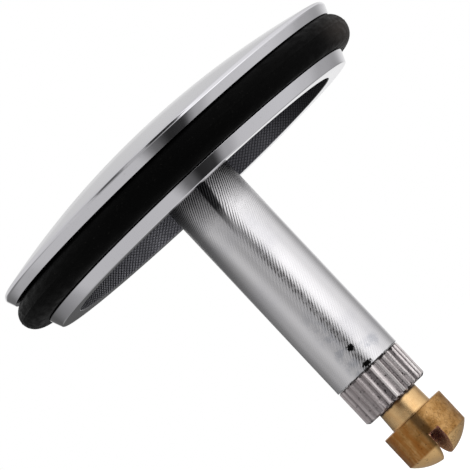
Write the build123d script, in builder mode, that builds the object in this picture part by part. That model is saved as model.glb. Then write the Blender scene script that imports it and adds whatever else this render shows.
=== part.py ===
from build123d import *

import math
import os

# Pop-up drain stopper: a domed plug head with its sealing ring, a stem, a lock nut
# and a slotted screw that sets the plug's height over the lift lever.
# Millimetres, +Z up along the stem towards the dome. The origin is on the stem's
# axis, at the centre plane of the sealing ring.

# Sealing ring: a round nose, pinched flat sides and a chamfered heel in the groove
ring_outer_diameter = 72.0
ring_section = 5.8
ring_squeeze = 0.175
ring_floor_gap = 0.2
ring_heel_chamfer = 1.2

# Plug head: the rim and dome over the ring
rim_setback = 1.28
rim_height = 2.1
rim_taper = 23.0
rim_edge_chamfer = 0.35
rim_lip_chamfer = 0.15
dome_rise = 4.55

# Plug head: the skirt under the ring and the hollow inside it
skirt_setback = 3.63
skirt_height = 2.2
skirt_taper = 23.0
skirt_edge_chamfer = 0.25
groove_wall = 2.5
hollow_depth = 9.0
recess_edge_chamfer = 0.3
recess_corner_chamfer = 1.0

# Plug head: the tapped boss that holds the stem
boss_diameter = 18.0
boss_face_height = 0.85
boss_edge_chamfer = 0.5
boss_root_chamfer = 0.8

# Stem, with a threaded spigot on top and a tapped blind bore from below
stem_diameter = 12.8
stem_reach = 43.45
stem_end_chamfer = 0.3
spigot_diameter = 10.0
spigot_length = 5.5
spigot_chamfer = 0.8
spigot_end_gap = 0.5
bore_depth = 32.0
mouth_chamfer = 0.5
drill_point = 118.0
thread_gap = 0.05

# Lock nut, straight fluted for the fingers
nut_diameter = 12.6
nut_height = 6.85
nut_seat_gap = 0.15
nut_chamfer = 0.35
flute_count = 26
flute_depth = 0.4

# Adjusting screw: thread size, shank, plain neck and slotted domed head
screw_diameter = 8.0
shank_length = 30.0
shank_end_chamfer = 1.0
neck_exposed = 3.55
neck_hidden = 0.7
neck_relief = 0.2
neck_flare = 0.15
head_diameter = 12.05
head_height = 6.05
head_edge_chamfer = 0.15
head_dome_height = 2.7
slot_width = 2.0
slot_depth = 4.8
slot_root_radius = 0.6
slot_offset = -0.2
slot_turn = 11.0

# Levels and radii that follow from the sizes above
ring_outer_radius = ring_outer_diameter / 2
ring_centre_radius = ring_outer_radius - ring_section / 2
heel_radius = ring_outer_radius - ring_section
groove_half_width = ring_section / 2 - ring_squeeze
groove_floor_radius = heel_radius - ring_floor_gap
recess_radius = groove_floor_radius - groove_wall

rim_under_radius = ring_outer_radius - rim_setback
rim_top_radius = rim_under_radius + rim_height * math.tan(math.radians(rim_taper))
rim_top = groove_half_width + rim_height
dome_top = rim_top + dome_rise

skirt_top_radius = ring_outer_radius - skirt_setback
skirt_bottom_radius = skirt_top_radius - skirt_height * math.tan(math.radians(skirt_taper))
skirt_bottom = -groove_half_width - skirt_height
hollow_top = skirt_bottom + hollow_depth

boss_radius = boss_diameter / 2
stem_radius = stem_diameter / 2
stem_bottom = -stem_reach
spigot_radius = spigot_diameter / 2
spigot_top = boss_face_height + spigot_length
socket_radius = spigot_radius + thread_gap
socket_top = spigot_top + spigot_end_gap

tapped_radius = screw_diameter / 2
shank_radius = tapped_radius - thread_gap
bore_end = stem_bottom + bore_depth
drill_tip = bore_end + tapped_radius / math.tan(math.radians(drill_point / 2))

nut_radius = nut_diameter / 2
nut_top = stem_bottom - nut_seat_gap
nut_bottom = nut_top - nut_height

neck_top = nut_bottom + neck_hidden
head_shoulder = nut_bottom - neck_exposed
neck_radius = tapped_radius - neck_relief
neck_foot_radius = neck_radius + neck_flare
shank_top = head_shoulder + shank_length
head_radius = head_diameter / 2
head_rim = head_shoulder - head_height
head_tip = head_rim - head_dome_height

os.makedirs("parts", exist_ok=True)


def corner(section, radius, height):
    """The corner of a turned section that lies nearest to a radius and a height."""
    return section.vertices().sort_by_distance((radius, height))[0]


def write_part(piece, name):
    """Label a finished piece and write it to its own file."""
    piece.part.label = name
    export_step(piece.part, f"parts/{name}.step")


# Plug head, turned about the stem's axis: dome, rim, groove, skirt, hollow and boss
with BuildPart() as plug_head:
    with BuildSketch(Plane.XZ) as head_section:
        with BuildLine():
            TangentArc((0, dome_top), (rim_top_radius, rim_top), tangent=(1, 0))
            Polyline(
                (rim_top_radius, rim_top),
                (rim_under_radius, groove_half_width),
                (groove_floor_radius, groove_half_width),
                (groove_floor_radius, -groove_half_width),
                (skirt_top_radius, -groove_half_width),
                (skirt_bottom_radius, skirt_bottom),
                (recess_radius, skirt_bottom),
                (recess_radius, hollow_top),
                (boss_radius, hollow_top),
                (boss_radius, boss_face_height),
                (socket_radius, boss_face_height),
                (socket_radius, socket_top),
                (0, socket_top),
                (0, dome_top),
            )
        make_face()
        chamfer(corner(head_section, rim_top_radius, rim_top), rim_edge_chamfer)
        chamfer(corner(head_section, rim_under_radius, groove_half_width), rim_lip_chamfer)
        chamfer(corner(head_section, skirt_bottom_radius, skirt_bottom), skirt_edge_chamfer)
        chamfer(corner(head_section, recess_radius, skirt_bottom), recess_edge_chamfer)
        chamfer(corner(head_section, recess_radius, hollow_top), recess_corner_chamfer)
        chamfer(corner(head_section, boss_radius, hollow_top), boss_root_chamfer)
        chamfer(corner(head_section, boss_radius, boss_face_height), boss_edge_chamfer)
    revolve(axis=Axis.Z)

write_part(plug_head, "plug_head")


# Sealing ring: a round nose outside, and a heel that fills the groove between its walls
with BuildPart() as sealing_ring:
    with BuildSketch(Plane.XZ) as ring_profile:
        with Locations((ring_centre_radius, 0)):
            Circle(ring_section / 2)
            Rectangle(
                ring_section / 2,
                2 * groove_half_width,
                align=(Align.MAX, Align.CENTER),
            )
            Rectangle(ring_section, 2 * groove_half_width, mode=Mode.INTERSECT)
        for height in (-groove_half_width, groove_half_width):
            chamfer(corner(ring_profile, heel_radius, height), ring_heel_chamfer)
    revolve(axis=Axis.Z)

write_part(sealing_ring, "sealing_ring")


# Stem: a turned bar whose shoulder seats on the boss, tapped from its lower end
with BuildPart() as stem:
    with BuildSketch(Plane.XZ) as stem_section:
        with BuildLine():
            Polyline(
                (0, spigot_top),
                (spigot_radius, spigot_top),
                (spigot_radius, boss_face_height),
                (stem_radius, boss_face_height),
                (stem_radius, stem_bottom),
                (tapped_radius, stem_bottom),
                (tapped_radius, bore_end),
                (0, drill_tip),
                close=True,
            )
        make_face()
        chamfer(corner(stem_section, spigot_radius, spigot_top), spigot_chamfer)
        chamfer(corner(stem_section, stem_radius, stem_bottom), stem_end_chamfer)
        chamfer(corner(stem_section, tapped_radius, stem_bottom), mouth_chamfer)
    revolve(axis=Axis.Z)

write_part(stem, "stem")


# Lock nut: a bored, chamfered disc with straight V flutes all round
with BuildPart() as lock_nut:
    with BuildSketch(Plane.XZ) as nut_section:
        with BuildLine():
            Polyline(
                (tapped_radius, nut_bottom),
                (nut_radius, nut_bottom),
                (nut_radius, nut_top),
                (tapped_radius, nut_top),
                close=True,
            )
        make_face()
        for height in (nut_bottom, nut_top):
            chamfer(corner(nut_section, nut_radius, height), nut_chamfer)
            chamfer(corner(nut_section, tapped_radius, height), mouth_chamfer)
    revolve(axis=Axis.Z)
    with BuildSketch(Plane.XY.offset(nut_bottom)):
        with PolarLocations(nut_radius, flute_count):
            Rectangle(flute_depth * math.sqrt(2), flute_depth * math.sqrt(2), rotation=45)
    extrude(amount=nut_height, mode=Mode.SUBTRACT)

write_part(lock_nut, "lock_nut")


# Adjusting screw: shank, neck that flares to the head, domed head and driver slot
with BuildPart() as adjusting_screw:
    with BuildSketch(Plane.XZ) as screw_section:
        with BuildLine():
            Polyline(
                (0, shank_top),
                (shank_radius, shank_top),
                (shank_radius, neck_top),
                (neck_radius, neck_top),
                (neck_radius, nut_bottom),
                (neck_foot_radius, head_shoulder),
                (head_radius, head_shoulder),
                (head_radius, head_rim),
            )
            TangentArc((0, head_tip), (head_radius, head_rim), tangent=(1, 0))
            Line((0, head_tip), (0, shank_top))
        make_face()
        chamfer(corner(screw_section, shank_radius, shank_top), shank_end_chamfer)
        chamfer(corner(screw_section, head_radius, head_shoulder), head_edge_chamfer)
    revolve(axis=Axis.Z)
    slot_plane = Plane(
        origin=(0, 0, head_tip),
        x_dir=(math.cos(math.radians(slot_turn)), math.sin(math.radians(slot_turn)), 0),
        z_dir=(math.sin(math.radians(slot_turn)), -math.cos(math.radians(slot_turn)), 0),
    )
    with BuildSketch(slot_plane) as slot_section:
        with Locations((slot_offset, 0)):
            Rectangle(slot_width, slot_depth, align=(Align.CENTER, Align.MIN))
        fillet(slot_section.vertices().group_by(Axis.Y)[-1], slot_root_radius)
    extrude(amount=head_diameter, both=True, mode=Mode.SUBTRACT)

write_part(adjusting_screw, "adjusting_screw")
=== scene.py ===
import math
import random

import bmesh
import bpy
from mathutils import Matrix, Vector


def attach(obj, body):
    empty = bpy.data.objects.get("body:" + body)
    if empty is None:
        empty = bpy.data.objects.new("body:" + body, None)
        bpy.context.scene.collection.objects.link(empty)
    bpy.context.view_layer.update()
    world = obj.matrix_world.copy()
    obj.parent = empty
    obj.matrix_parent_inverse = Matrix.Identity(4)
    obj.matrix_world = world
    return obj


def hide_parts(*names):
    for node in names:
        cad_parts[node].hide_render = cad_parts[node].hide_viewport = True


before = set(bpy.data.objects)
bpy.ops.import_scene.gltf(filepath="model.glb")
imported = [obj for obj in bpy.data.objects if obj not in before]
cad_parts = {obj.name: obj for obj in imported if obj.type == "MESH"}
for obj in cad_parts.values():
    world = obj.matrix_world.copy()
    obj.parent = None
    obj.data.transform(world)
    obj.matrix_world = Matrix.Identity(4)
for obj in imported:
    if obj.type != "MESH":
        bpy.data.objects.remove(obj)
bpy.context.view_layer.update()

# Lengths below are in millimetres, +Z up along the stem, with the origin on the
# stem's axis at the centre plane of the sealing ring. One millimetre in metres:
MM = 0.001

# Turned surfaces
SEGMENTS = 288
SMOOTH_ANGLE = 28.0
ARC_STEP = 9.0
POLE_RADIUS = 0.001
WELD_DISTANCE = 0.0004

# Sealing ring
RING_RADIUS = 35.98
RING_SECTION = 5.8
RING_HEEL_CHAMFER = 1.2
RING_NOSE_STEPS = 44
MOULD_LINE_HEIGHT = 0.05
MOULD_LINE_WIDTH = 0.36

# How the ring has settled: its height and its lift at the middle, and how much each
# changes out to its +X side
RING_THICKNESS = 0.98
RING_THICKNESS_LEAN = 0.06
RING_LIFT = 0.022
RING_LIFT_LEAN = 0.112

# Plug head
GROOVE_HALF_WIDTH = 2.725
GROOVE_FLOOR = 30.0
RIM_UNDER = 34.72
RIM_HEIGHT = 2.1
RIM_TAPER = 23.0
RIM_EDGE = 0.68
RIM_LIP = 0.15
DOME_RISE = 4.55
DOME_STEPS = 22
SKIRT_TOP = 32.37
SKIRT_HEIGHT = 2.2
SKIRT_TAPER = 23.0
SKIRT_EDGE = 0.3
HOLLOW_TOP = 4.075
HOLLOW_MARGIN = 0.01
RECESS_RADIUS = 27.5
RECESS_EDGE = 0.15
RECESS_CORNER = 1.2
BOSS_RADIUS = 9.0
BOSS_FACE = 0.85
BOSS_EDGE = 0.5
BOSS_ROOT = 1.0
SOCKET_RADIUS = 5.05
SOCKET_TOP = 6.85

# Stem
STEM_RADIUS = 6.4
STEM_BOTTOM = -43.45
STEM_END = 0.12
SPIGOT_RADIUS = 5.0
SPIGOT_TOP = 6.35
SPIGOT_CHAMFER = 0.8
BORE_RADIUS = 4.0
BORE_END = -11.45
BORE_TIP = -9.05
MOUTH_CHAMFER = 0.5

# Lock nut
NUT_RADIUS = 6.3
NUT_TOP = -43.47
NUT_BOTTOM = -50.45
NUT_CHAMFER = 0.22
NUT_FOOT_CHAMFER = 0.4
NUT_CHAMFER_SLOPE = 1.25
NUT_CHAMFER_STEPS = 4
NUT_BODY_LEVELS = (1.6, -1.6)
FLUTE_COUNT = 26
FLUTE_DEPTH = 0.38
FLUTE_TURN = 0.085
FLUTE_SAMPLES = 14
FLUTE_BOW = 1.15
FLUTE_CREST = 0.02

# How the flutes differ: width against the others, share of the full depth, place of
# the valley in the flute's width and share of the width that is crest
FLUTE_SEED = 26
FLUTE_WIDTHS = (0.8, 1.2)
FLUTE_DEPTHS = (0.72, 1.0)
FLUTE_LEANS = (0.42, 0.58)
FLUTE_FLATS = (0.3, 0.46)

# Adjusting screw
THREAD_CREST = 3.94
THREAD_ROOT = 3.42
THREAD_PITCH = 1.25
THREAD_SEGMENTS = 72
THREAD_ROWS = 10
THREAD_STEEPNESS = 1.35
THREAD_CREST_FLAT = 0.12
THREAD_RUNOUT = 1.5
SHANK_TOP = -24.0
SHANK_CHAMFER = 1.0
NECK_TOP = -49.75
NECK_RADIUS = 3.8
NECK_FLARE = 0.15
HEAD_SHOULDER = -54.0
HEAD_RIM = -60.05
HEAD_TIP = -62.75
HEAD_RADIUS = 6.02
HEAD_EDGE = 0.15
HEAD_DOME_STEPS = 14
SLOT_WIDTH = 2.0
SLOT_DEPTH = 4.8
SLOT_ROOT = 0.6
SLOT_OFFSET = -0.2
SLOT_TURN = 11.0
CUTTER_OVERSHOOT = 2.0

# Levels and radii that follow from the sizes above
RIM_TOP = GROOVE_HALF_WIDTH + RIM_HEIGHT
RIM_RADIUS = RIM_UNDER + RIM_HEIGHT * math.tan(math.radians(RIM_TAPER))
DOME_CURVE = (RIM_RADIUS**2 + DOME_RISE**2) / (2 * DOME_RISE)
SKIRT_BOTTOM = -GROOVE_HALF_WIDTH - SKIRT_HEIGHT
SKIRT_RADIUS = SKIRT_TOP - SKIRT_HEIGHT * math.tan(math.radians(SKIRT_TAPER))
HEAD_DROP = HEAD_RIM - HEAD_TIP
HEAD_CURVE = (HEAD_RADIUS**2 + HEAD_DROP**2) / (2 * HEAD_DROP)


# Profiles


def rounded(corners, loop=False):
    """An outline with its corners rounded. Each corner is (radius, height) or
    (radius, height, size of the rounding)."""
    outline = []
    count = len(corners)
    for index, corner in enumerate(corners):
        here = Vector(corner[:2])
        size = corner[2] if len(corner) > 2 else 0.0
        if not size or (not loop and index in (0, count - 1)):
            outline.append(tuple(here))
            continue
        before = (Vector(corners[index - 1][:2]) - here).normalized()
        after = (Vector(corners[(index + 1) % count][:2]) - here).normalized()
        half = before.angle(after) / 2
        centre = here + (before + after).normalized() * (size / math.sin(half))
        start = here + before * (size / math.tan(half)) - centre
        end = here + after * (size / math.tan(half)) - centre
        turn = math.pi - 2 * half
        if start.x * end.y - start.y * end.x < 0:
            turn = -turn
        steps = max(2, round(abs(math.degrees(turn)) / ARC_STEP))
        for step in range(steps + 1):
            angle = turn * step / steps
            spot = Vector((
                start.x * math.cos(angle) - start.y * math.sin(angle),
                start.x * math.sin(angle) + start.y * math.cos(angle),
            ))
            outline.append(tuple(centre + spot))
    return outline


def arc_heights(start, end, steps, height):
    """Points of a curve given as a height for each radius, ends left out."""
    radii = [start + (end - start) * step / steps for step in range(1, steps)]
    return [(radius, height(radius)) for radius in radii]


# Meshes


def add_object(name, data):
    """A new object in the scene."""
    made = bpy.data.objects.new(name, data)
    bpy.context.scene.collection.objects.link(made)
    return made


def add_mesh(name, body):
    """A mesh with a bmesh's faces."""
    mesh = bpy.data.meshes.new(name)
    body.to_mesh(mesh)
    body.free()
    return mesh


def point(radius, angle, height):
    """A place in metres, by its distance from the axis, its angle from the camera side
    and its height."""
    return Vector((radius * math.sin(angle), -radius * math.cos(angle), height)) * MM


def finish_mesh(name, body, materials, choose=None):
    """Turn a bmesh into a smooth shaded object, with sharp edges where it turns."""
    bmesh.ops.remove_doubles(body, verts=body.verts, dist=WELD_DISTANCE * MM)
    bmesh.ops.recalc_face_normals(body, faces=body.faces)
    for face in body.faces:
        face.smooth = True
        if choose:
            face.material_index = choose(face.calc_center_median() / MM)
    mesh = add_mesh(name, body)
    for material in materials:
        mesh.materials.append(material)
    mesh.set_sharp_from_angle(angle=math.radians(SMOOTH_ANGLE))
    return add_object(name, mesh)


def spin(body, outline, loop=False, segments=SEGMENTS):
    """Turn an outline about the Z axis. A point on the axis becomes a pole."""
    rings = []
    for radius, height in outline:
        count = segments if radius > POLE_RADIUS else 1
        rings.append([
            body.verts.new(point(radius, math.tau * step / segments, height))
            for step in range(count)
        ])
    pairs = list(zip(rings, rings[1:]))
    if loop:
        pairs.append((rings[-1], rings[0]))
    for low, high in pairs:
        bridge(body, low, high)
    return rings


def bridge(body, low, high):
    """Join two rings of points with quads, or with a fan at a pole."""
    count = max(len(low), len(high))
    if count == 1:
        return
    for step in range(count):
        after = (step + 1) % count
        if len(low) == 1:
            body.faces.new((low[0], high[after], high[step]))
        elif len(high) == 1:
            body.faces.new((low[step], low[after], high[0]))
        else:
            body.faces.new((low[step], low[after], high[after], high[step]))


def register_piece(piece, body_name, node):
    """Give a finished piece its body, and hide the solid that it stands for."""
    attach(piece, body_name)
    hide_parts(node)


# Materials

# The values between which most of a noise lies
NOISE_SPREAD = (0.3, 0.7)


class Graph:
    """A material's nodes, with short calls for the kinds that are used here. Its x, y
    and z are the place on the surface in millimetres."""

    def __init__(self, name):
        self.material = bpy.data.materials.new(name)
        self.material.use_nodes = True
        self.tree = self.material.node_tree
        self.shader = self.tree.nodes["Principled BSDF"]
        place = self.node("ShaderNodeTexCoord").outputs["Object"]
        scaled = self.node("ShaderNodeVectorMath", operation="SCALE")
        self.put(place, scaled.inputs[0])
        scaled.inputs["Scale"].default_value = 1 / MM
        self.place = scaled.outputs[0]
        split = self.node("ShaderNodeSeparateXYZ")
        self.put(self.place, split.inputs[0])
        self.x, self.y, self.z = split.outputs

    def node(self, kind, **settings):
        made = self.tree.nodes.new(kind)
        for key, value in settings.items():
            setattr(made, key, value)
        return made

    def put(self, value, socket):
        """Link a socket, or set a plain value."""
        if isinstance(value, bpy.types.NodeSocket):
            self.tree.links.new(value, socket)
        else:
            socket.default_value = value

    def set(self, **values):
        """Set the shader's own sockets, with _ for a space in a name."""
        for key, value in values.items():
            if isinstance(value, tuple):
                value = (*value, 1.0)
            self.put(value, self.shader.inputs[key.replace("_", " ")])

    def math(self, operation, *values):
        made = self.node("ShaderNodeMath", operation=operation)
        for value, socket in zip(values, made.inputs):
            self.put(value, socket)
        return made.outputs[0]

    def chain(self, operation, first, *others):
        """One operation over two or more values, from the first on."""
        for other in others:
            first = self.math(operation, first, other)
        return first

    def times(self, *values):
        return self.chain("MULTIPLY", *values)

    def plus(self, *values):
        return self.chain("ADD", *values)

    def highest(self, *values):
        return self.chain("MAXIMUM", *values)

    def rest_of(self, share):
        """What a share leaves of 1."""
        return self.math("SUBTRACT", 1.0, share)

    def away(self, value, centre):
        """How far a value is from a centre, to either side."""
        return self.math("ABSOLUTE", self.math("SUBTRACT", value, centre))

    def length(self, first, second):
        """The length of two sides that stand square to each other."""
        squares = [self.times(side, side) for side in (first, second)]
        return self.math("SQRT", self.plus(*squares))

    def span(self, value, low, high, to_low=0.0, to_high=1.0, smooth=True):
        """Map a value from one span to another, clamped."""
        made = self.node("ShaderNodeMapRange")
        made.interpolation_type = "SMOOTHSTEP" if smooth else "LINEAR"
        for item, socket in zip((value, low, high, to_low, to_high), made.inputs):
            self.put(item, socket)
        return made.outputs[0]

    def window(self, value, start, full, fade, end):
        """1 from full to fade, down to 0 at start and at end."""
        return self.times(self.span(value, start, full), self.span(value, end, fade))

    def vary(self, noise, low, high):
        """Let a noise move a value from low to high."""
        return self.span(noise, *NOISE_SPREAD, low, high)

    def stretch(self, x=1.0, y=1.0, z=1.0):
        """The place, scaled along each axis."""
        made = self.node("ShaderNodeVectorMath", operation="MULTIPLY")
        self.put(self.place, made.inputs[0])
        made.inputs[1].default_value = (x, y, z)
        return made.outputs[0]

    def noise(self, scale, detail=3.0, at=None, rough=0.5):
        made = self.node("ShaderNodeTexNoise")
        self.put(at or self.place, made.inputs["Vector"])
        made.inputs["Scale"].default_value = scale
        made.inputs["Detail"].default_value = detail
        made.inputs["Roughness"].default_value = rough
        return made.outputs["Fac"]

    def around(self):
        """The angle about the stem's axis, 0 towards the camera side, in radians."""
        return self.math("ARCTAN2", self.x, self.times(self.y, -1.0))

    def front(self):
        """1 on the camera side and 0 behind."""
        return self.math("LESS_THAN", self.y, 0.0)

    def colours(self, value, stops, ease="LINEAR"):
        """A colour for each value, from (place, colour) stops."""
        made = self.node("ShaderNodeValToRGB")
        ramp = made.color_ramp
        ramp.interpolation = ease
        while len(ramp.elements) < len(stops):
            ramp.elements.new(1.0)
        for element, (place, colour) in zip(ramp.elements, stops):
            element.position = place
            element.color = (*colour, 1.0)
        self.put(value, made.inputs[0])
        return made.outputs[0]

    def mix(self, share, first, second):
        """Two colours mixed."""
        made = self.node("ShaderNodeMix", data_type="RGBA")
        self.put(share, made.inputs["Factor"])
        for value, socket in ((first, made.inputs[6]), (second, made.inputs[7])):
            self.put((*value, 1.0) if isinstance(value, tuple) else value, socket)
        return made.outputs[2]

    def bump(self, height, depth):
        """Relief on the surface, where a height of 1 stands depth millimetres proud."""
        made = self.node("ShaderNodeBump")
        made.inputs["Strength"].default_value = 1.0
        made.inputs["Distance"].default_value = depth * MM
        self.put(height, made.inputs["Height"])
        self.put(made.outputs[0], self.shader.inputs["Normal"])

    def tangent(self):
        """Stretch the gloss along the stem, as the marks of turning do."""
        made = self.node("ShaderNodeTangent", direction_type="RADIAL", axis="Z")
        self.put(made.outputs[0], self.shader.inputs["Tangent"])


# Colours are linear red, green and blue, lengths are in millimetres, and left and right
# are -X and +X. Two numbers are where a mark begins and where it is full, and two more
# after them are the values there. For a window, four numbers are where it begins, is
# full, fades and ends.

# Head outside, and the painted shade at the left end of its skirt
HEAD_PLATE = (0.885, 0.875, 0.915)
HEAD_SPECK = (0.80, 0.79, 0.82)
HEAD_SPECKLED = (0.62, 0.8)
HEAD_GLOSS = (0.35, 0.75, 0.05, 0.12)
HEAD_RELIEF = 0.006
SKIRT_SHADE_COLOUR = (0.12, 0.12, 0.13)
SKIRT_SHADE_ACROSS = (-23.0, -31.5)
SKIRT_SHADE_DOWN = (-1.5, -2.5)
SKIRT_SHADE_SHARE = 0.72


def polished_chrome():
    """Mirror chrome with faint smears and specks, the waviness of hand polishing, and
    painted shade on the skirt's left end."""
    graph = Graph("head_polished_chrome")
    smear = graph.noise(0.09, 4.0)
    specks = graph.noise(1.7, 2.0)
    graph.set(Metallic=1.0, Roughness=graph.span(smear, *HEAD_GLOSS))
    plate = graph.mix(graph.span(specks, *HEAD_SPECKLED), HEAD_PLATE, HEAD_SPECK)
    # Painted shade on the skirt's left end
    skirt_shade = graph.times(
        graph.span(graph.x, *SKIRT_SHADE_ACROSS, 0.0, SKIRT_SHADE_SHARE),
        graph.span(graph.z, *SKIRT_SHADE_DOWN),
    )
    graph.set(Base_Color=graph.mix(skirt_shade, plate, SKIRT_SHADE_COLOUR))
    graph.bump(graph.noise(0.35, 2.0), HEAD_RELIEF)
    return graph.material


# Hollow: its two sets of cuts, each as radians of phase for each radian round the axis
# and for each millimetre of height, then where they are crisp and where they are worn
HATCH_CUTS = ((106.0, 5.1), (96.0, -5.4))
HATCH_WALL = (0.1, 0.8)
HATCH_FINE_FLOOR = 0.55
HATCH_CRISP = (-18.0, -24.0)
HATCH_CRISPNESS = 0.8
HATCH_WORN = (-21.0, -12.0)
HATCH_WEAR = 0.4
HOLLOW_CUT = (0.012, 0.012, 0.016)
HOLLOW_RIDGE = (0.28, 0.28, 0.31)
HOLLOW_CRISP_RIDGE = (0.42, 0.42, 0.45)
# Painted shade at the hollow's right: its colour, where it begins and is full, its share
HOLLOW_SHADE_COLOUR = (0.02, 0.02, 0.022)
HOLLOW_SHADE_ACROSS = (12.0, 24.0)
HOLLOW_SHADE_SHARE = 0.8
HOLLOW_RELIEF = 0.02


def hollow_chrome():
    """Thin plate over turned brass inside the head: satin, finely crosshatched, with the
    most contrast at the left, and painted shade at the right."""
    graph = Graph("hollow_satin_plate")
    cuts = []
    for turn, climb in HATCH_CUTS:
        phase = graph.plus(graph.times(graph.around(), turn), graph.times(graph.z, climb))
        cuts.append(graph.math("ABSOLUTE", graph.math("SINE", phase)))
    coarse = graph.span(cuts[0], *HATCH_WALL)
    fine = graph.span(cuts[1], *HATCH_WALL, HATCH_FINE_FLOOR, 1.0)
    crisp = graph.span(graph.x, *HATCH_CRISP)
    contrast = graph.math("MULTIPLY_ADD", crisp, HATCH_CRISPNESS, 1.0)
    hatch = graph.math("POWER", graph.times(coarse, fine), contrast)
    hatch = graph.highest(hatch, graph.span(graph.x, *HATCH_WORN, 0.0, HATCH_WEAR))
    ridge = graph.mix(crisp, HOLLOW_RIDGE, HOLLOW_CRISP_RIDGE)
    plate = graph.mix(hatch, HOLLOW_CUT, ridge)
    # Painted shade darkens the hollow towards its right
    dark = graph.span(graph.x, *HOLLOW_SHADE_ACROSS, 0.0, HOLLOW_SHADE_SHARE)
    graph.set(Metallic=1.0, Base_Color=graph.mix(dark, plate, HOLLOW_SHADE_COLOUR))
    graph.set(Roughness=graph.vary(graph.noise(0.25, 4.0), 0.26, 0.42))
    graph.bump(hatch, HOLLOW_RELIEF)
    return graph.material


# Ring: its blacks by the noise that spreads the dust, and the part at its right that has
# dust and a painted sheen
RUBBER_SHEEN = 0.04
RUBBER_BLACKS = (
    (0.0, (0.0005, 0.0005, 0.0005)),
    (0.6, (0.001, 0.001, 0.001)),
    (1.0, (0.022, 0.02, 0.017)),
)
RUBBER_RELIEF = 0.012
DUST_AND_SHEEN_COLOUR = (0.035, 0.029, 0.026)
DUST_AND_SHEEN_ACROSS = (29.5, 35.6)
DUST_AND_SHEEN_DOWN = (2.5, -1.5)
DUST_AND_SHEEN_AT_TOP = 0.15


def seal_rubber():
    """Black moulded rubber: a dull sheen, with scuffs, and dust and a painted sheen towards
    its right.
    """
    graph = Graph("seal_black_rubber")
    dust = graph.noise(2.2, 6.0, rough=0.7)
    scuff = graph.noise(0.5, 3.0, at=graph.stretch(z=3.0))
    graph.set(Metallic=0.0, Specular_IOR_Level=RUBBER_SHEEN)
    graph.set(Roughness=graph.vary(scuff, 0.42, 0.62))
    # Dust and a painted sheen at the ring's right end, most of it low down
    dust_and_sheen = graph.times(
        graph.span(graph.x, *DUST_AND_SHEEN_ACROSS),
        graph.span(graph.z, *DUST_AND_SHEEN_DOWN, DUST_AND_SHEEN_AT_TOP, 1.0),
    )
    rubber = graph.colours(dust, RUBBER_BLACKS)
    graph.set(Base_Color=graph.mix(dust_and_sheen, rubber, DUST_AND_SHEEN_COLOUR))
    graph.bump(graph.noise(3.5, 5.0), RUBBER_RELIEF)
    return graph.material


# Stem: its slanting turning lines, as radians of phase for each millimetre round the
# bar and along it and as radians of waver. They are deep under the head and down the
# front, and faint at the sides.
LINES_ROUND = 14.0
LINES_ALONG = -7.6
LINES_WAVER = 5.0
LINES_CENTRE = 0.4
LINES_FADE = (1.2, 3.0, 0.5, 0.14)
LINES_UNDER_HEAD = (-20.0, -7.0)
STEM_SMEARED = (0.45, 0.75)
STEM_PLATE = (0.905, 0.89, 0.91)
STEM_SMEAR = (0.82, 0.81, 0.85)
STEM_SMUDGE = (0.50, 0.52, 0.58)
STEM_SHADE = (0.02, 0.02, 0.022)
STEM_STROKE = (0.085, 0.072, 0.072)
STEM_PIT = (0.012, 0.012, 0.012)
STEM_STRETCH = 0.8
STEM_RELIEF = 0.012


def stem_chrome():
    """Chromed bar with the marks of turning: gloss drawn out along the bar, fine
    slanting lines with dark strokes of painted reflection in them, smudges, painted shade
    and reflection, and two dark pits."""
    graph = Graph("stem_turned_chrome")
    girth = graph.times(graph.around(), STEM_RADIUS)
    lines = graph.plus(graph.times(girth, LINES_ROUND), graph.times(graph.z, LINES_ALONG))
    waver = graph.times(graph.noise(0.4, 2.0), LINES_WAVER)
    ridges = graph.math("SINE", graph.plus(lines, waver))
    depth = graph.highest(
        graph.span(graph.away(graph.x, LINES_CENTRE), *LINES_FADE),
        graph.span(graph.z, *LINES_UNDER_HEAD),
    )
    smear = graph.noise(0.12, 4.0)
    colour = graph.mix(graph.span(smear, *STEM_SMEARED), STEM_PLATE, STEM_SMEAR)
    colour = graph.mix(stem_smudges(graph), colour, STEM_SMUDGE)
    # Painted shade and painted dark reflections below the head, down one side and at the nut
    colour = graph.mix(stem_unshaded(graph, girth), STEM_SHADE, colour)
    # Dark strokes of painted reflection down the front
    colour = graph.mix(stem_strokes(graph, ridges), colour, STEM_STROKE)
    colour = graph.mix(stem_pits(graph), colour, STEM_PIT)
    graph.set(Metallic=1.0, Base_Color=colour, Roughness=graph.vary(smear, 0.16, 0.24))
    graph.set(Anisotropic=STEM_STRETCH, Anisotropic_Rotation=0.25)
    graph.tangent()
    graph.bump(graph.times(ridges, depth), STEM_RELIEF)
    return graph.material


# Dark strokes down the stem's front, a painted dark reflection: their line across and
# their edge beside it, where they begin along the stem, where a noise breaks them up,
# and how low in the lines
STROKES_CENTRE = 0.2
STROKES_EDGE = (0.65, 0.4)
STROKES_ALONG = (-13.0, -22.0)
STROKES_BROKEN = (0.42, 0.56, 0.1, 1.0)
STROKES_LOW = (-0.1, -0.7)


def stem_strokes(graph, ridges):
    """1 on the dark strokes, a painted dark reflection, that follow the turning lines down
    the stem's front.
    """
    run = graph.times(
        graph.span(graph.away(graph.x, STROKES_CENTRE), *STROKES_EDGE),
        graph.front(),
        graph.span(graph.z, *STROKES_ALONG),
    )
    uneven = graph.span(graph.noise(1.5, 3.0), *STROKES_BROKEN)
    return graph.times(run, uneven, graph.span(ridges, *STROKES_LOW))


# Smudges on the stem's lower end, left and right of its front
SMUDGE_LEFT_ACROSS = (-3.4, -2.0, -0.6, 0.2)
SMUDGE_LEFT_ALONG = (-26.0, -38.0)
SMUDGE_RIGHT_ACROSS = (1.0, 2.0, 4.2, 5.2)
SMUDGE_RIGHT_ALONG = (-42.4, -41.4, -40.2, -39.2)
SMUDGE_PATCHES = (0.44, 0.62, 0.0, 0.55)


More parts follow.
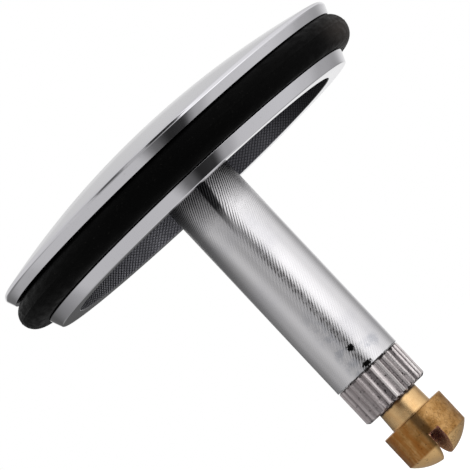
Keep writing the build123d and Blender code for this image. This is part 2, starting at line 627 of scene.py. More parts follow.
def stem_smudges(graph):
    """How smudged the plating is near the stem's lower end, left and right of its
    front."""
    left = graph.times(
        graph.window(graph.x, *SMUDGE_LEFT_ACROSS),
        graph.span(graph.z, *SMUDGE_LEFT_ALONG),
    )
    right = graph.times(
        graph.window(graph.x, *SMUDGE_RIGHT_ACROSS),
        graph.window(graph.z, *SMUDGE_RIGHT_ALONG),
    )
    patchy = graph.span(graph.noise(0.5, 4.0, rough=0.65), *SMUDGE_PATCHES)
    return graph.times(graph.highest(left, right), graph.front(), patchy)


# Painted shade and reflection on the stem: how far down the painted shade under the
# head reaches, its side darkened by a painted reflection, by the girth from the front and
# along the stem, the lean, half width and reach of the black run, which is a painted dark
# reflection, and the painted shade where the nut sits
SHADE_UNDER_HEAD = (-10.2, -4.6, 1.0, 0.33)
SIDE_REFLECTION_ROUND = (-16.0, -10.0, -6.6, -3.6)
SIDE_REFLECTION_ALONG = (-33.0, -11.0, 0.0, 0.72)
RUN_LEAN = 0.12
RUN_CENTRE = 1.14
RUN_HALF_WIDTH = (-12.5, -5.5, 0.2, 0.75)
RUN_EDGE = (0.3, -0.1)
RUN_ALONG = (-14.0, -8.0, 0.0, 0.95)
SEAM_RAGGEDNESS = 0.4
SEAM_ALONG = (-43.08, -43.2, 0.0, 0.75)


def stem_unshaded(graph, girth):
    """How free the stem is of painted shade, from 0 to 1: painted shade under the head, a
    painted reflection down one side, a black run below the head that is a painted dark
    reflection, and a line of painted shade where the nut sits."""
    # Painted shade under the head
    unshaded = graph.span(graph.z, *SHADE_UNDER_HEAD, smooth=False)
    side = graph.times(
        graph.window(girth, *SIDE_REFLECTION_ROUND),
        graph.span(graph.z, *SIDE_REFLECTION_ALONG, smooth=False),
    )
    # The black run below the head is a painted dark reflection
    middle = graph.math("MULTIPLY_ADD", graph.z, RUN_LEAN, RUN_CENTRE)
    half_width = graph.span(graph.z, *RUN_HALF_WIDTH, smooth=False)
    outside = graph.math("SUBTRACT", graph.away(girth, middle), half_width)
    run = graph.times(
        graph.span(outside, *RUN_EDGE),
        graph.span(graph.z, *RUN_ALONG, smooth=False),
    )
    # Painted shade in the seam where the nut sits
    ragged = graph.math("MULTIPLY_ADD", graph.noise(3.5, 2.0), SEAM_RAGGEDNESS, graph.z)
    seam = graph.span(ragged, *SEAM_ALONG)
    for darkening in (side, run, seam):
        unshaded = graph.times(unshaded, graph.rest_of(darkening))
    return unshaded


# Pits in the stem's plating: place across and along the stem, then half sizes
STEM_PITS = (
    (0.3, -39.25, 0.62, 0.56),
    (0.45, -42.85, 0.95, 0.42),
)
PIT_RAGGEDNESS = 1.8
PIT_EDGE = (1.1, 0.85)


def stem_pits(graph):
    """1 inside the stem's pits, with ragged edges, and 0 elsewhere."""
    ragged = graph.times(graph.math("SUBTRACT", graph.noise(3.0, 4.0), 0.5), PIT_RAGGEDNESS)
    pits = []
    for across, along, half_width, half_height in STEM_PITS:
        dx = graph.math("DIVIDE", graph.math("SUBTRACT", graph.x, across), half_width)
        dz = graph.math("DIVIDE", graph.math("SUBTRACT", graph.z, along), half_height)
        pits.append(graph.span(graph.plus(graph.length(dx, dz), ragged), *PIT_EDGE))
    return graph.times(graph.highest(*pits), graph.front())


# Nut: each colour at its left and at its right, painted light that makes the right a lit
# copy of the shaded left
NUT_DULL = ((0.52, 0.46, 0.465), (0.80, 0.73, 0.73))
NUT_WORN_AND_GLINT = ((0.72, 0.66, 0.66), (1.0, 0.95, 0.94))
NUT_VALLEY_SHADE = ((0.42, 0.375, 0.38), (0.22, 0.195, 0.20))
NUT_DIRT_AND_SHADE = (0.012, 0.010, 0.010)
NUT_LIT = (-2.5, 1.5)
NUT_SATIN = (-3.0, 1.0, 0.14, 0.0)
NUT_STREAKED = (0.35, 0.65)
NUT_RELIEF = 0.08

# Nut: how far its worn crests, which carry a painted glint, reach down the flutes and up
# from its foot, and where its black thickens: grime by the noise, painted shade near its
# top and near its foot, grime in the valleys, and from left to right
CREST_BELOW = 0.12
CREST_ABOVE_VALLEY = 0.05
CREST_AT_FOOT = (0.4, 0.15, 0.0, 0.75)
DIRT_SPOTS = (0.62, 0.72)
SHADE_BELOW_TOP = (0.45, 0.2, 0.0, 0.14)
SHADE_ABOVE_FOOT = (0.45, 0.2, 0.0, 0.16)
DIRT_IN_VALLEY = 0.08
DIRT_ACROSS = (-3.0, 0.0, 0.55, 0.92)


def nut_nickel():
    """Dull nickel plate, streaked along the flutes, grey in the valleys with painted shade,
    with wear and a painted glint on the crests, painted lighter on its right than its left,
    and black specks of grime, with painted shade at both ends."""
    graph = Graph("nut_dull_nickel")
    streaks = graph.noise(1.6, 5.0, at=graph.stretch(z=0.12), rough=0.65)
    grain = graph.noise(5.0, 3.0)
    above_foot = graph.math("SUBTRACT", graph.z, NUT_BOTTOM)
    below_top = graph.math("SUBTRACT", NUT_TOP, graph.z)
    valley_radius = NUT_RADIUS - FLUTE_DEPTH
    radius = graph.length(graph.x, graph.y)
    crest = graph.highest(
        graph.span(radius, valley_radius + CREST_ABOVE_VALLEY, NUT_RADIUS - CREST_BELOW),
        graph.span(above_foot, *CREST_AT_FOOT),
    )
    # Painted light: the right is lit and the left shaded
    lit = graph.span(graph.x, *NUT_LIT)
    dull = graph.mix(lit, *NUT_DULL)
    uneven = graph.mix(graph.span(streaks, *NUT_STREAKED), dull, graph.mix(lit, *NUT_WORN_AND_GLINT))
    # Painted shade in the valleys and a painted glint on the crests
    plated = graph.mix(crest, graph.mix(lit, *NUT_VALLEY_SHADE), uneven)
    # Black grime spots, with painted shade near the nut's top and foot
    darkening = graph.plus(
        graph.noise(1.5, 4.0, rough=0.7),
        graph.span(below_top, *SHADE_BELOW_TOP),
        graph.span(above_foot, *SHADE_ABOVE_FOOT),
        graph.times(graph.rest_of(crest), DIRT_IN_VALLEY),
    )
    black = graph.times(
        graph.span(darkening, *DIRT_SPOTS),
        graph.span(graph.x, *DIRT_ACROSS),
    )
    graph.set(Metallic=1.0, Base_Color=graph.mix(black, plated, NUT_DIRT_AND_SHADE))
    satin = graph.span(graph.x, *NUT_SATIN)
    graph.set(Roughness=graph.plus(graph.vary(grain, 0.2, 0.38), satin))
    graph.bump(graph.plus(streaks, graph.times(grain, 0.3)), NUT_RELIEF)
    return graph.material


# Screw: where the head's finish takes over from the neck's, by height over the shoulder
ON_HEAD = (0.35, -0.15)
BRASS_RELIEF = 0.06
NECK_RELIEF_SHARE = 0.2

# Neck and thread: the noise that dulls them, then their marks. The thread's colour and
# its grime, with painted shade below the nut's foot, are placed by the height above the
# nut's foot. The dark line down the neck is a painted reflection.
BRASS_BRIGHT = (0.95, 0.63, 0.31)
BRASS_DULL = (0.86, 0.53, 0.24)
BRASS_THREAD = (0.50, 0.30, 0.115)
BRASS_GRIME_AND_SHADE = (0.06, 0.04, 0.03)
BRASS_DARK_REFLECTION = (0.22, 0.10, 0.035)
NECK_DULLED = (0.35, 0.7)
NECK_RAGGEDNESS = 0.6
THREAD_FROM = (-0.1, 0.5)
GRIME_AND_SHADE_ALONG = (-0.3, 0.2, 0.9, 1.6)
NECK_REFLECTION_CENTRE = -0.35
NECK_REFLECTION_EDGE = (0.8, 0.1)
NECK_REFLECTION_ALONG = (-53.0, -51.2, 0.0, 0.7)

# Head: how much the specks add to its mottle, then its marks; the dark stripe down its
# front is a painted reflection
SPECK_SHARE = 0.35
BRASS_MOTTLE = (
    (0.35, (0.24, 0.10, 0.022)),
    (0.55, (0.47, 0.235, 0.068)),
    (0.70, (0.61, 0.335, 0.12)),
    (0.90, (0.72, 0.43, 0.18)),
)
BRASS_BROWN = (0.46, 0.175, 0.035)
BRASS_DOME = (0.95, 0.61, 0.27)
BRASS_FLECK = (0.10, 0.04, 0.012)
BRASS_POCK = (0.24, 0.11, 0.035)
BRASS_REFLECTED_BAND = (0.045, 0.022, 0.012)
BROWN_ACROSS = (-0.2, -2.0)
BROWN_STREAKS = (0.34, 0.6, 0.0, 0.9)
DOME_FROM = (HEAD_RIM + 0.15, HEAD_RIM - 0.35)
FLECK_SPOTS = (0.62, 0.7, 0.0, 0.75)
POCK_LINE = (0.035, 0.01, 0.0, 0.45)
POCK_ACROSS = (0.5, 2.0)
REFLECTED_BAND_CENTRE = 0.1
REFLECTED_BAND_EDGE = (1.2, 0.4, 0.0, 0.68)

# Slot: how far its dirt goes beyond the walls and above the root, how it darkens from
# the head's tip up, and its crumbs
CAKED_WALL = (SLOT_WIDTH / 2 + 0.1, SLOT_WIDTH / 2 + 0.02)
CAKED_TOP = HEAD_TIP + SLOT_DEPTH + 0.05
CAKED_DEPTH = (HEAD_TIP + 1.2, HEAD_TIP + 3.6)
CRUMB_SPOTS = (0.5, 0.62, 0.0, 0.6)
CAKED_MOUTH = (0.30, 0.165, 0.09)
CAKED_ROOT = (0.15, 0.055, 0.045)
CAKED_CRUMB = (0.75, 0.47, 0.27)


def screw_brass():
    """Turned brass: bright on the neck and thread, mottled and browned on the head, with
    grime caked in the slot, painted shade below the nut and painted dark reflections down
    the front."""
    graph = Graph("screw_aged_brass")
    blotch = graph.noise(0.55, 5.0, rough=0.62)
    speck = graph.noise(2.6, 4.0, rough=0.6)
    on_head = graph.span(graph.math("SUBTRACT", graph.z, HEAD_SHOULDER), *ON_HEAD)
    slot = slot_mask(graph)
    head = graph.mix(slot, head_brass(graph, blotch, speck), slot_dirt(graph, speck))
    graph.set(Base_Color=graph.mix(on_head, neck_brass(graph, blotch), head))
    graph.set(Metallic=graph.rest_of(slot), Specular_IOR_Level=0.0)
    graph.set(Roughness=graph.plus(
        graph.times(on_head, graph.vary(blotch, 0.48, 0.3)),
        graph.times(graph.rest_of(on_head), graph.vary(speck, 0.2, 0.3)),
    ))
    rough = graph.math("MULTIPLY_ADD", on_head, 1 - NECK_RELIEF_SHARE, NECK_RELIEF_SHARE)
    graph.bump(graph.times(rough, graph.plus(speck, blotch)), BRASS_RELIEF)
    return graph.material


def neck_brass(graph, blotch):
    """Bright turned brass, darker on the thread, with grime and painted shade where it enters
    the nut and a painted dark reflection down the front."""
    colour = graph.mix(graph.span(blotch, *NECK_DULLED), BRASS_BRIGHT, BRASS_DULL)
    ragged = graph.math("MULTIPLY_ADD", graph.noise(1.2, 2.0), NECK_RAGGEDNESS, graph.z)
    inside_nut = graph.math("SUBTRACT", ragged, NUT_BOTTOM)
    # A painted dark reflection down the neck
    neck_reflection = graph.times(
        graph.span(graph.away(graph.x, NECK_REFLECTION_CENTRE), *NECK_REFLECTION_EDGE),
        graph.span(graph.z, *NECK_REFLECTION_ALONG),
    )
    for share, mark in (
        (graph.span(inside_nut, *THREAD_FROM), BRASS_THREAD),
        # Grime, with painted shade below the nut's foot
        (graph.window(inside_nut, *GRIME_AND_SHADE_ALONG), BRASS_GRIME_AND_SHADE),
        (neck_reflection, BRASS_DARK_REFLECTION),
    ):
        colour = graph.mix(share, colour, mark)
    return colour


def head_brass(graph, blotch, speck):
    """Mottled brass, browned in streaks at the left and brighter on the dome, with dark
    flecks, pock marks at the right and a dark stripe of painted reflection down the front."""
    mottle = graph.plus(blotch, graph.times(speck, SPECK_SHARE))
    colour = graph.colours(mottle, BRASS_MOTTLE)
    streaks = graph.noise(1.1, 4.0, at=graph.stretch(z=0.15), rough=0.6)
    brown = graph.times(
        graph.span(graph.x, *BROWN_ACROSS),
        graph.span(streaks, *BROWN_STREAKS),
    )
    pock = graph.times(
        graph.span(graph.away(graph.noise(1.0, 2.0), 0.5), *POCK_LINE),
        graph.span(graph.x, *POCK_ACROSS),
    )
    # A painted dark reflection down the head's front
    reflected_band = graph.span(graph.away(graph.x, REFLECTED_BAND_CENTRE), *REFLECTED_BAND_EDGE)
    for share, mark in (
        (brown, BRASS_BROWN),
        (graph.span(graph.z, *DOME_FROM), BRASS_DOME),
        (graph.span(graph.noise(2.1, 3.0, rough=0.7), *FLECK_SPOTS), BRASS_FLECK),
        (pock, BRASS_POCK),
        (graph.times(reflected_band, graph.front()), BRASS_REFLECTED_BAND),
    ):
        colour = graph.mix(share, colour, mark)
    return colour


def slot_mask(graph):
    """1 on the walls and root of the driver slot, and 0 elsewhere."""
    turn = math.radians(SLOT_TURN)
    across = graph.plus(
        graph.times(graph.x, math.cos(turn)), graph.times(graph.y, math.sin(turn))
    )
    inside = graph.span(graph.away(across, SLOT_OFFSET), *CAKED_WALL)
    return graph.times(inside, graph.math("LESS_THAN", graph.z, CAKED_TOP))


def slot_dirt(graph, speck):
    """Dirt settled in the slot, darker towards its root, with crumbs of brass."""
    deep = graph.span(graph.z, *CAKED_DEPTH)
    crumb = graph.span(speck, *CRUMB_SPOTS)
    return graph.mix(crumb, graph.mix(deep, CAKED_MOUTH, CAKED_ROOT), CAKED_CRUMB)


# Pieces


def dome_height(radius):
    """Height of the plug's domed face at a distance from the axis."""
    return RIM_TOP + DOME_RISE - DOME_CURVE + math.sqrt(DOME_CURVE**2 - radius**2)


def head_dome_height(radius):
    """Height of the screw's domed end at a distance from the axis."""
    return HEAD_TIP + HEAD_CURVE - math.sqrt(HEAD_CURVE**2 - radius**2)


def make_plug_head():
    """The domed head: rim, groove, skirt, hollow and the boss with its socket."""
    corners = [(0.0, dome_height(0.0))]
    corners += arc_heights(0.0, RIM_RADIUS, DOME_STEPS, dome_height)
    corners += [
        (RIM_RADIUS, RIM_TOP, RIM_EDGE),
        (RIM_UNDER, GROOVE_HALF_WIDTH, RIM_LIP),
        (GROOVE_FLOOR, GROOVE_HALF_WIDTH),
        (GROOVE_FLOOR, -GROOVE_HALF_WIDTH),
        (SKIRT_TOP, -GROOVE_HALF_WIDTH, RIM_LIP),
        (SKIRT_RADIUS, SKIRT_BOTTOM, SKIRT_EDGE),
        (RECESS_RADIUS, SKIRT_BOTTOM, RECESS_EDGE),
        (RECESS_RADIUS, HOLLOW_TOP, RECESS_CORNER),
        (BOSS_RADIUS, HOLLOW_TOP, BOSS_ROOT),
        (BOSS_RADIUS, BOSS_FACE, BOSS_EDGE),
        (SOCKET_RADIUS, BOSS_FACE),
        (SOCKET_RADIUS, SOCKET_TOP),
        (0.0, SOCKET_TOP),
    ]
    body = bmesh.new()
    spin(body, rounded(corners))

    def in_hollow(centre):
        within = math.hypot(centre.x, centre.y) < RECESS_RADIUS + RECESS_EDGE
        return int(within and centre.z < HOLLOW_TOP + HOLLOW_MARGIN)

    piece = finish_mesh("head_shell", body, [polished_chrome(), hollow_chrome()], in_hollow)
    register_piece(piece, "plug", "plug_head")


def make_sealing_ring():
    """The rubber ring: a round nose with a fine mould line, flat sides and a heel.
    It has settled a little thinner and lower towards -X."""
    centre = RING_RADIUS - RING_SECTION / 2
    heel = RING_RADIUS - RING_SECTION
    nose = RING_SECTION / 2 - MOULD_LINE_HEIGHT
    start = math.asin(GROOVE_HALF_WIDTH / nose)
    outline = []
    for step in range(RING_NOSE_STEPS + 1):
        angle = start - 2 * start * step / RING_NOSE_STEPS
        height = nose * math.sin(angle)
        swell = max(0.0, 1 - (2 * height / MOULD_LINE_WIDTH)**2) * MOULD_LINE_HEIGHT
        outline.append((centre + (nose + swell) * math.cos(angle), height))
    outline += [
        (heel + RING_HEEL_CHAMFER, -GROOVE_HALF_WIDTH),
        (heel, -GROOVE_HALF_WIDTH + RING_HEEL_CHAMFER),
        (heel, GROOVE_HALF_WIDTH - RING_HEEL_CHAMFER),
        (heel + RING_HEEL_CHAMFER, GROOVE_HALF_WIDTH),
    ]
    body = bmesh.new()
    spin(body, outline, loop=True)
    for vert in body.verts:
        side = vert.co.x / (RING_RADIUS * MM)
        thickness = RING_THICKNESS + RING_THICKNESS_LEAN * side
        vert.co.z = vert.co.z * thickness + (RING_LIFT + RING_LIFT_LEAN * side) * MM
    piece = finish_mesh("ring_seal", body, [seal_rubber()])
    register_piece(piece, "plug", "sealing_ring")


def make_stem():
    """The stem, with its spigot above and its bore below."""
    outline = rounded([
        (0.0, SPIGOT_TOP),
        (SPIGOT_RADIUS - SPIGOT_CHAMFER, SPIGOT_TOP),
        (SPIGOT_RADIUS, SPIGOT_TOP - SPIGOT_CHAMFER),
        (SPIGOT_RADIUS, BOSS_FACE),
        (STEM_RADIUS, BOSS_FACE),
        (STEM_RADIUS, STEM_BOTTOM, STEM_END),
        (BORE_RADIUS + MOUTH_CHAMFER, STEM_BOTTOM),
        (BORE_RADIUS, STEM_BOTTOM + MOUTH_CHAMFER),
        (BORE_RADIUS, BORE_END),
        (0.0, BORE_TIP),
    ])
    body = bmesh.new()
    spin(body, outline)
    piece = finish_mesh("stem_bar", body, [stem_chrome()])
    register_piece(piece, "plug", "stem")


def flute_outline():
    """Angles round the nut and its radius at each, for V flutes of uneven width and
    depth."""
    draw = random.Random(FLUTE_SEED)
    widths = [draw.uniform(*FLUTE_WIDTHS) for _ in range(FLUTE_COUNT)]
    radii = []
    angles = []
    angle = FLUTE_TURN
    for width in widths:
        span = math.tau * width / sum(widths)
        depth = FLUTE_DEPTH * draw.uniform(*FLUTE_DEPTHS)
        lean = draw.uniform(*FLUTE_LEANS)
        flat = draw.uniform(*FLUTE_FLATS)
        for step in range(FLUTE_SAMPLES):
            share = step / FLUTE_SAMPLES
            side = lean if share < lean else 1 - lean
            fall = (1 - abs(share - lean) / side) / (1 - flat) - FLUTE_CREST
            radii.append(NUT_RADIUS - depth * min(1.0, max(0.0, fall))**FLUTE_BOW)
            angles.append(angle + span * share)
        angle += span
    return angles, radii


def make_lock_nut():
    """The fluted nut, chamfered at both ends and bored through."""
    angles, radii = flute_outline()
    body = bmesh.new()
    steps = [step / NUT_CHAMFER_STEPS for step in range(NUT_CHAMFER_STEPS + 1)]
    heights = [NUT_TOP - step * NUT_CHAMFER for step in steps]
    heights += [(NUT_TOP + NUT_BOTTOM) / 2 + offset for offset in NUT_BODY_LEVELS]
    heights += [NUT_BOTTOM + step * NUT_FOOT_CHAMFER for step in reversed(steps)]
    rings = []
    for height in heights:
        past_top = NUT_CHAMFER - (NUT_TOP - height)
        past_foot = NUT_FOOT_CHAMFER - (height - NUT_BOTTOM)
        limit = NUT_RADIUS - max(0.0, past_top, past_foot) * NUT_CHAMFER_SLOPE
        rings.append(nut_ring(body, angles, [min(radius, limit) for radius in radii], height))
    for radius, height in (
        (BORE_RADIUS + MOUTH_CHAMFER, NUT_BOTTOM),
        (BORE_RADIUS, NUT_BOTTOM + MOUTH_CHAMFER),
        (BORE_RADIUS, NUT_TOP - MOUTH_CHAMFER),
        (BORE_RADIUS + MOUTH_CHAMFER, NUT_TOP),
    ):
        rings.append(nut_ring(body, angles, [radius] * len(radii), height))
    for low, high in zip(rings, rings[1:] + rings[:1]):
        bridge(body, low, high)
    piece = finish_mesh("nut_fluted", body, [nut_nickel()])
    register_piece(piece, "nut", "lock_nut")


def nut_ring(body, angles, radii, height):
    """One level of the nut, as points at the given angles and radii."""
    return [
        body.verts.new(point(radius, angle, height)) for angle, radius in zip(angles, radii)
    ]


def thread_radius(turns, height):
    """Radius of the threaded shank at a turn (1 for all round) and a height."""
    phase = (height / THREAD_PITCH - turns) % 1.0
    rise = abs(phase - 0.5) * 2 * THREAD_STEEPNESS - THREAD_CREST_FLAT
    radius = THREAD_CREST - (THREAD_CREST - THREAD_ROOT) * min(1.0, max(0.0, rise))
    runout = min(1.0, max(0.0, (height - NECK_TOP) / (THREAD_RUNOUT * THREAD_PITCH)))
    radius = NECK_RADIUS + (radius - NECK_RADIUS) * runout
    return min(radius, THREAD_CREST - SHANK_CHAMFER + (SHANK_TOP - height))


def make_thread(body):
    """The threaded shank as rows that follow the helix, cut level at both ends.
    Returns its lowest ring of points."""
    rise = THREAD_PITCH / THREAD_ROWS
    first = -THREAD_ROWS - 1
    last = round((SHANK_TOP - NECK_TOP) / rise) + 1
    columns = []
    for step in range(THREAD_SEGMENTS):
        turns = step / THREAD_SEGMENTS
        column = {}
        ends = {}
        for row in range(first, last + THREAD_ROWS + 1):
            height = NECK_TOP + turns * THREAD_PITCH + row * rise
            height = max(NECK_TOP, min(SHANK_TOP, height))
            if height in ends:
                column[row] = ends[height]
                continue
            radius = thread_radius(turns, height)
            column[row] = body.verts.new(point(radius, math.tau * turns, height))
            if height in (NECK_TOP, SHANK_TOP):
                ends[height] = column[row]
        columns.append(column)
    for step in range(THREAD_SEGMENTS):
        here = columns[step]
        wraps = step == THREAD_SEGMENTS - 1
        there = columns[0] if wraps else columns[step + 1]
        shift = THREAD_ROWS if wraps else 0
        for row in range(first, last):
            loop = (here[row], there[row + shift], there[row + 1 + shift], here[row + 1])
            corners = list(dict.fromkeys(loop))
            if len(corners) > 2:
                body.faces.new(corners)
    top = [column[last + THREAD_ROWS] for column in columns]
    bridge(body, top, [body.verts.new(point(0.0, 0.0, SHANK_TOP))])
    return [column[first] for column in columns]


def make_adjusting_screw():
    """Join the thread to the turned head and cut the slot."""
    body = bmesh.new()
    foot = make_thread(body)
    corners = [
        (NECK_RADIUS, NUT_BOTTOM),
        (NECK_RADIUS + NECK_FLARE, HEAD_SHOULDER),
        (HEAD_RADIUS, HEAD_SHOULDER, HEAD_EDGE),
        (HEAD_RADIUS, HEAD_RIM, HEAD_EDGE),
    ]
    corners += arc_heights(HEAD_RADIUS, 0.0, HEAD_DOME_STEPS, head_dome_height)
    corners += [(0.0, HEAD_TIP)]
    rings = spin(body, rounded(corners), segments=THREAD_SEGMENTS)
    bridge(body, foot, rings[0])
    piece = finish_mesh("screw_slotted", body, [screw_brass()])
    cut(piece, slot_cutter())
    register_piece(piece, "screw", "adjusting_screw")


def slot_cutter():
    """The saw cut across the head."""
    body = bmesh.new()
    half = SLOT_WIDTH / 2
    root = HEAD_TIP + SLOT_DEPTH
    section = rounded([
        (-half, HEAD_TIP - CUTTER_OVERSHOOT),
        (half, HEAD_TIP - CUTTER_OVERSHOOT),
        (half, root, SLOT_ROOT),
        (-half, root, SLOT_ROOT),
    ], loop=True)
    prism(body, section, HEAD_RADIUS + CUTTER_OVERSHOOT)
    bmesh.ops.recalc_face_normals(body, faces=body.faces)
    cutter = add_object("slot_cutter", add_mesh("slot_cutter", body))
    offset = Matrix.Translation(Vector((SLOT_OFFSET, 0.0, 0.0)) * MM)
    cutter.matrix_world = Matrix.Rotation(math.radians(SLOT_TURN), 4, "Z") @ offset
    return cutter


def prism(body, section, reach):
    """A closed prism along Y, from a section in X and Z."""
    ends = []
    for depth in (-reach, reach):
        ends.append([body.verts.new(Vector((x, depth, z)) * MM) for x, z in section])
    bridge(body, ends[0], ends[1])
    for end in ends:
        body.faces.new(end)


def cut(piece, cutter):
    """Take the cutter away from the piece and keep the piece's smooth shading."""
    bpy.context.view_layer.update()
    change = piece.modifiers.new("cut", "BOOLEAN")
    change.operation = "DIFFERENCE"
    change.solver = "EXACT"
    change.object = cutter
    depsgraph = bpy.context.evaluated_depsgraph_get()
    mesh = bpy.data.meshes.new_from_object(piece.evaluated_get(depsgraph))
    piece.modifiers.remove(change)
    piece.data = mesh
    mesh.set_sharp_from_angle(angle=math.radians(SMOOTH_ANGLE))
    bpy.data.objects.remove(cutter)


# Studio: white beyond the object, a pale floor, and a tent that the metal reflects.
# Lengths from here on are in metres.

FLOOR_LEVEL = -0.078
FLOOR_REACH = 6.0
FLOOR_COLOUR = (0.82, 0.82, 0.82)
FLOOR_ROUGHNESS = 0.9
FLOOR_GLOW = 0.45
WORLD_SEEN = (1.0, 1.0, 1.0, 1.0)
WORLD_FILL = (0.76, 0.76, 0.77, 1.0)

# Soft square lamps: name, place, side and power
LAMPS = (
    ("key_lamp", (0.7, -0.8, 0.9), 0.7, 9.0),
    ("fill_lamp", (-0.9, -0.5, 0.5), 0.9, 3.0),
)

# Light of the tent in rings from low to high: degrees round from the camera side
# (towards +X is more) and brightness. The dark stretches at the front are the
# photographer, whom the rim, the dome's edge and the stem reflect.
TENT_RADIUS = 1.4
TENT_LOW = (
    (-180, 0.36), (-165, 0.36), (-140, 0.37), (-118, 0.40), (-100, 0.51), (-16, 0.52),
    (-1, 0.12), (8, 0.02), (20, 0.03), (31, 0.36), (45, 0.55), (88, 0.58), (106, 0.52),
    (122, 0.38), (155, 0.28), (180, 0.36),
)
TENT_LEVEL = (
    (-180, 0.1), (-165, 0.14), (-132, 0.20), (-98, 0.34), (-60, 0.54), (-28, 0.33),
    (-12, 0.44), (2, 0.28), (12, 0.44), (24, 1.16), (40, 1.24), (54, 1.1), (85, 0.8),
    (138, 0.34), (172, 0.8), (180, 0.88),
)
TENT_HIGH = (
    (-180, 0.70), (-120, 0.62), (-60, 0.55), (-14, 0.42), (-5, 0.1), (15, 0.06),
    (20, 0.85), (60, 1.0), (110, 0.8), (180, 0.70),
)
TENT_UPPER = (
    (-180, 0.60), (-120, 0.62), (-46, 0.5), (-41, 0.1), (-25, 0.1), (-20, 0.45),
    (-6, 0.4), (-3, 0.02), (17, 0.02), (20, 1.1), (30, 0.95), (48, 0.8), (110, 0.75),
    (180, 0.60),
)
TENT_CROWN = (
    (-180, 0.60), (-120, 0.62), (-58, 0.5), (-52, 0.1), (-33, 0.1), (-27, 0.45),
    (-9, 0.4), (-5, 0.02), (25, 0.02), (29, 1.1), (48, 0.85), (110, 0.75), (180, 0.60),
)

# Where each ring takes over from what is below it, as a share of the tent's radius
TENT_RINGS = (
    (-0.92, -0.8, TENT_LOW),
    (-0.24, -0.08, TENT_LEVEL),
    (0.06, 0.2, TENT_HIGH),
    (0.2, 0.27, TENT_UPPER),
    (0.55, 0.68, TENT_CROWN),
)
TENT_BOTTOM = 0.6
TENT_TOP = 0.62
TENT_TOP_RISE = (0.9, 0.99)

# A brighter patch just above the level behind the object, by the angle from the
# camera side in radians and by the share of the radius
TENT_BEHIND = 0.85
TENT_BEHIND_TURN = (2.6, 2.95)
TENT_BEHIND_RISE = (-0.01, 0.05, 0.11, 0.2)


def ring_of_light(graph, share, stops):
    """A grey for each way round the tent."""
    places = [((angle + 180) / 360, (level,) * 3) for angle, level in stops]
    return graph.colours(share, places, ease="EASE")


def make_tent():
    """A soft tent round the set, which only reflections see."""
    body = bmesh.new()
    bmesh.ops.create_icosphere(body, subdivisions=4, radius=TENT_RADIUS)
    tent = add_object("studio_tent", add_mesh("studio_tent", body))
    graph = Graph("studio_tent")
    share = graph.plus(graph.math("DIVIDE", graph.around(), math.tau), 0.5)
    rise = graph.math("DIVIDE", graph.z, TENT_RADIUS / MM)
    colour = (TENT_BOTTOM,) * 3
    for start, full, stops in TENT_RINGS:
        ring = ring_of_light(graph, share, stops)
        colour = graph.mix(graph.span(rise, start, full), colour, ring)
    behind = graph.times(
        graph.span(graph.math("ABSOLUTE", graph.around()), *TENT_BEHIND_TURN),
        graph.window(rise, *TENT_BEHIND_RISE),
    )
    colour = graph.mix(behind, colour, (TENT_BEHIND,) * 3)
    colour = graph.mix(graph.span(rise, *TENT_TOP_RISE), colour, (TENT_TOP,) * 3)
    glow = graph.node("ShaderNodeEmission")
    graph.put(colour, glow.inputs["Color"])
    graph.put(glow.outputs[0], graph.tree.nodes["Material Output"].inputs["Surface"])
    tent.data.materials.append(graph.material)
    for way in ("camera", "diffuse", "transmission", "volume_scatter", "shadow"):
        setattr(tent, f"visible_{way}", False)


def mix_shaders(tree, share, first, second):
    """Two shaders mixed by a share."""
    made = tree.nodes.new("ShaderNodeMixShader")
    for output, socket in zip((share, first, second), made.inputs):
        tree.links.new(output, socket)
    return made.outputs[0]


def seen_directly(tree):
    """1 where the camera looks, also by way of metal or glass, and 0 for the light that
    falls on matt surfaces."""
    paths = tree.nodes.new("ShaderNodeLightPath")
    seen = paths.outputs["Is Camera Ray"]
    for kind in ("Is Glossy Ray", "Is Transmission Ray"):
        either = tree.nodes.new("ShaderNodeMath")
        either.operation = "MAXIMUM"
        tree.links.new(seen, either.inputs[0])
        tree.links.new(paths.outputs[kind], either.inputs[1])
        seen = either.outputs[0]
    return seen


def make_floor():
    """A pale floor that stays white round the object and keeps its shadow. Seen from
    below it is clear, so the underside can be looked at."""
    mesh = bpy.data.meshes.new("floor")
    signs = ((-1, -1), (1, -1), (1, 1), (-1, 1))
    corners = [(x * FLOOR_REACH, y * FLOOR_REACH, FLOOR_LEVEL) for x, y in signs]
    mesh.from_pydata(corners, [], [(0, 1, 2, 3)])
    graph = Graph("pale_floor")
    graph.set(Base_Color=FLOOR_COLOUR, Roughness=FLOOR_ROUGHNESS, Specular_IOR_Level=0.0)
    glows = []
    for strength in (0.0, FLOOR_GLOW):
        glow = graph.node("ShaderNodeEmission")
        glow.inputs["Strength"].default_value = strength
        glows.append(glow.outputs[0])
    lift = mix_shaders(graph.tree, seen_directly(graph.tree), *glows)
    both = graph.node("ShaderNodeAddShader")
    graph.put(graph.shader.outputs[0], both.inputs[0])
    graph.put(lift, both.inputs[1])
    clear = graph.node("ShaderNodeBsdfTransparent")
    below = graph.node("ShaderNodeNewGeometry").outputs["Backfacing"]
    final = mix_shaders(graph.tree, below, both.outputs[0], clear.outputs[0])
    graph.put(final, graph.tree.nodes["Material Output"].inputs["Surface"])
    mesh.materials.append(graph.material)
    floor = add_object("floor", mesh)
    floor.visible_glossy = False


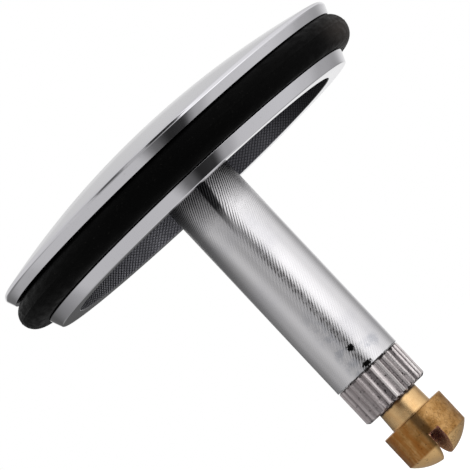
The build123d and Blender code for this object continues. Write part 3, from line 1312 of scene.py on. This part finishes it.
def make_world():
    """White behind the object, and an even soft light from all round."""
    world = bpy.data.worlds.new("studio")
    bpy.context.scene.world = world
    world.use_nodes = True
    tree = world.node_tree
    tree.nodes.clear()
    lights = []
    for colour in (WORLD_FILL, WORLD_SEEN):
        light = tree.nodes.new("ShaderNodeBackground")
        light.inputs["Color"].default_value = colour
        lights.append(light.outputs[0])
    output = tree.nodes.new("ShaderNodeOutputWorld")
    tree.links.new(mix_shaders(tree, seen_directly(tree), *lights), output.inputs["Surface"])


def make_lamp(name, place, side, power):
    """A soft square lamp that faces the object, for the matt surfaces."""
    light = bpy.data.lights.new(name, "AREA")
    light.size = side
    light.energy = power
    lamp = add_object(name, light)
    lamp.location = place
    lamp.rotation_euler = (-Vector(place)).to_track_quat("-Z", "Y").to_euler()
    lamp.visible_glossy = False


# Camera: the photograph is taken square to the stem from a little below the head,
# with the stem pointing down to the right

CAMERA_PLACE = Vector((0.0, -0.650, -0.04345))
CAMERA_AIM = Vector((-0.000875, 0.0, -0.01305))
CAMERA_ROLL = 43.18
CAMERA_LENS = 307.0
CAMERA_SENSOR = 36.0
CAMERA_NEAR = 0.01
CAMERA_FAR = 20.0


def make_camera():
    """The camera, aimed and then rolled about its own line of sight."""
    data = bpy.data.cameras.new("camera")
    data.sensor_width = CAMERA_SENSOR
    data.lens = CAMERA_LENS
    data.clip_start = CAMERA_NEAR
    data.clip_end = CAMERA_FAR
    camera = add_object("camera", data)
    ahead = (CAMERA_AIM - CAMERA_PLACE).normalized()
    level_right = ahead.cross(Vector((0, 0, 1))).normalized()
    level_up = level_right.cross(ahead)
    roll = math.radians(CAMERA_ROLL)
    right = level_right * math.cos(roll) - level_up * math.sin(roll)
    up = level_right * math.sin(roll) + level_up * math.cos(roll)
    turn = Matrix((right, up, -ahead)).transposed()
    camera.matrix_world = Matrix.Translation(CAMERA_PLACE) @ turn.to_4x4()
    bpy.context.scene.camera = camera


make_plug_head()
make_sealing_ring()
make_stem()
make_lock_nut()
make_adjusting_screw()

make_tent()
make_floor()
make_world()
for lamp_settings in LAMPS:
    make_lamp(*lamp_settings)
make_camera()

bpy.context.scene.view_settings.view_transform = "Standard"
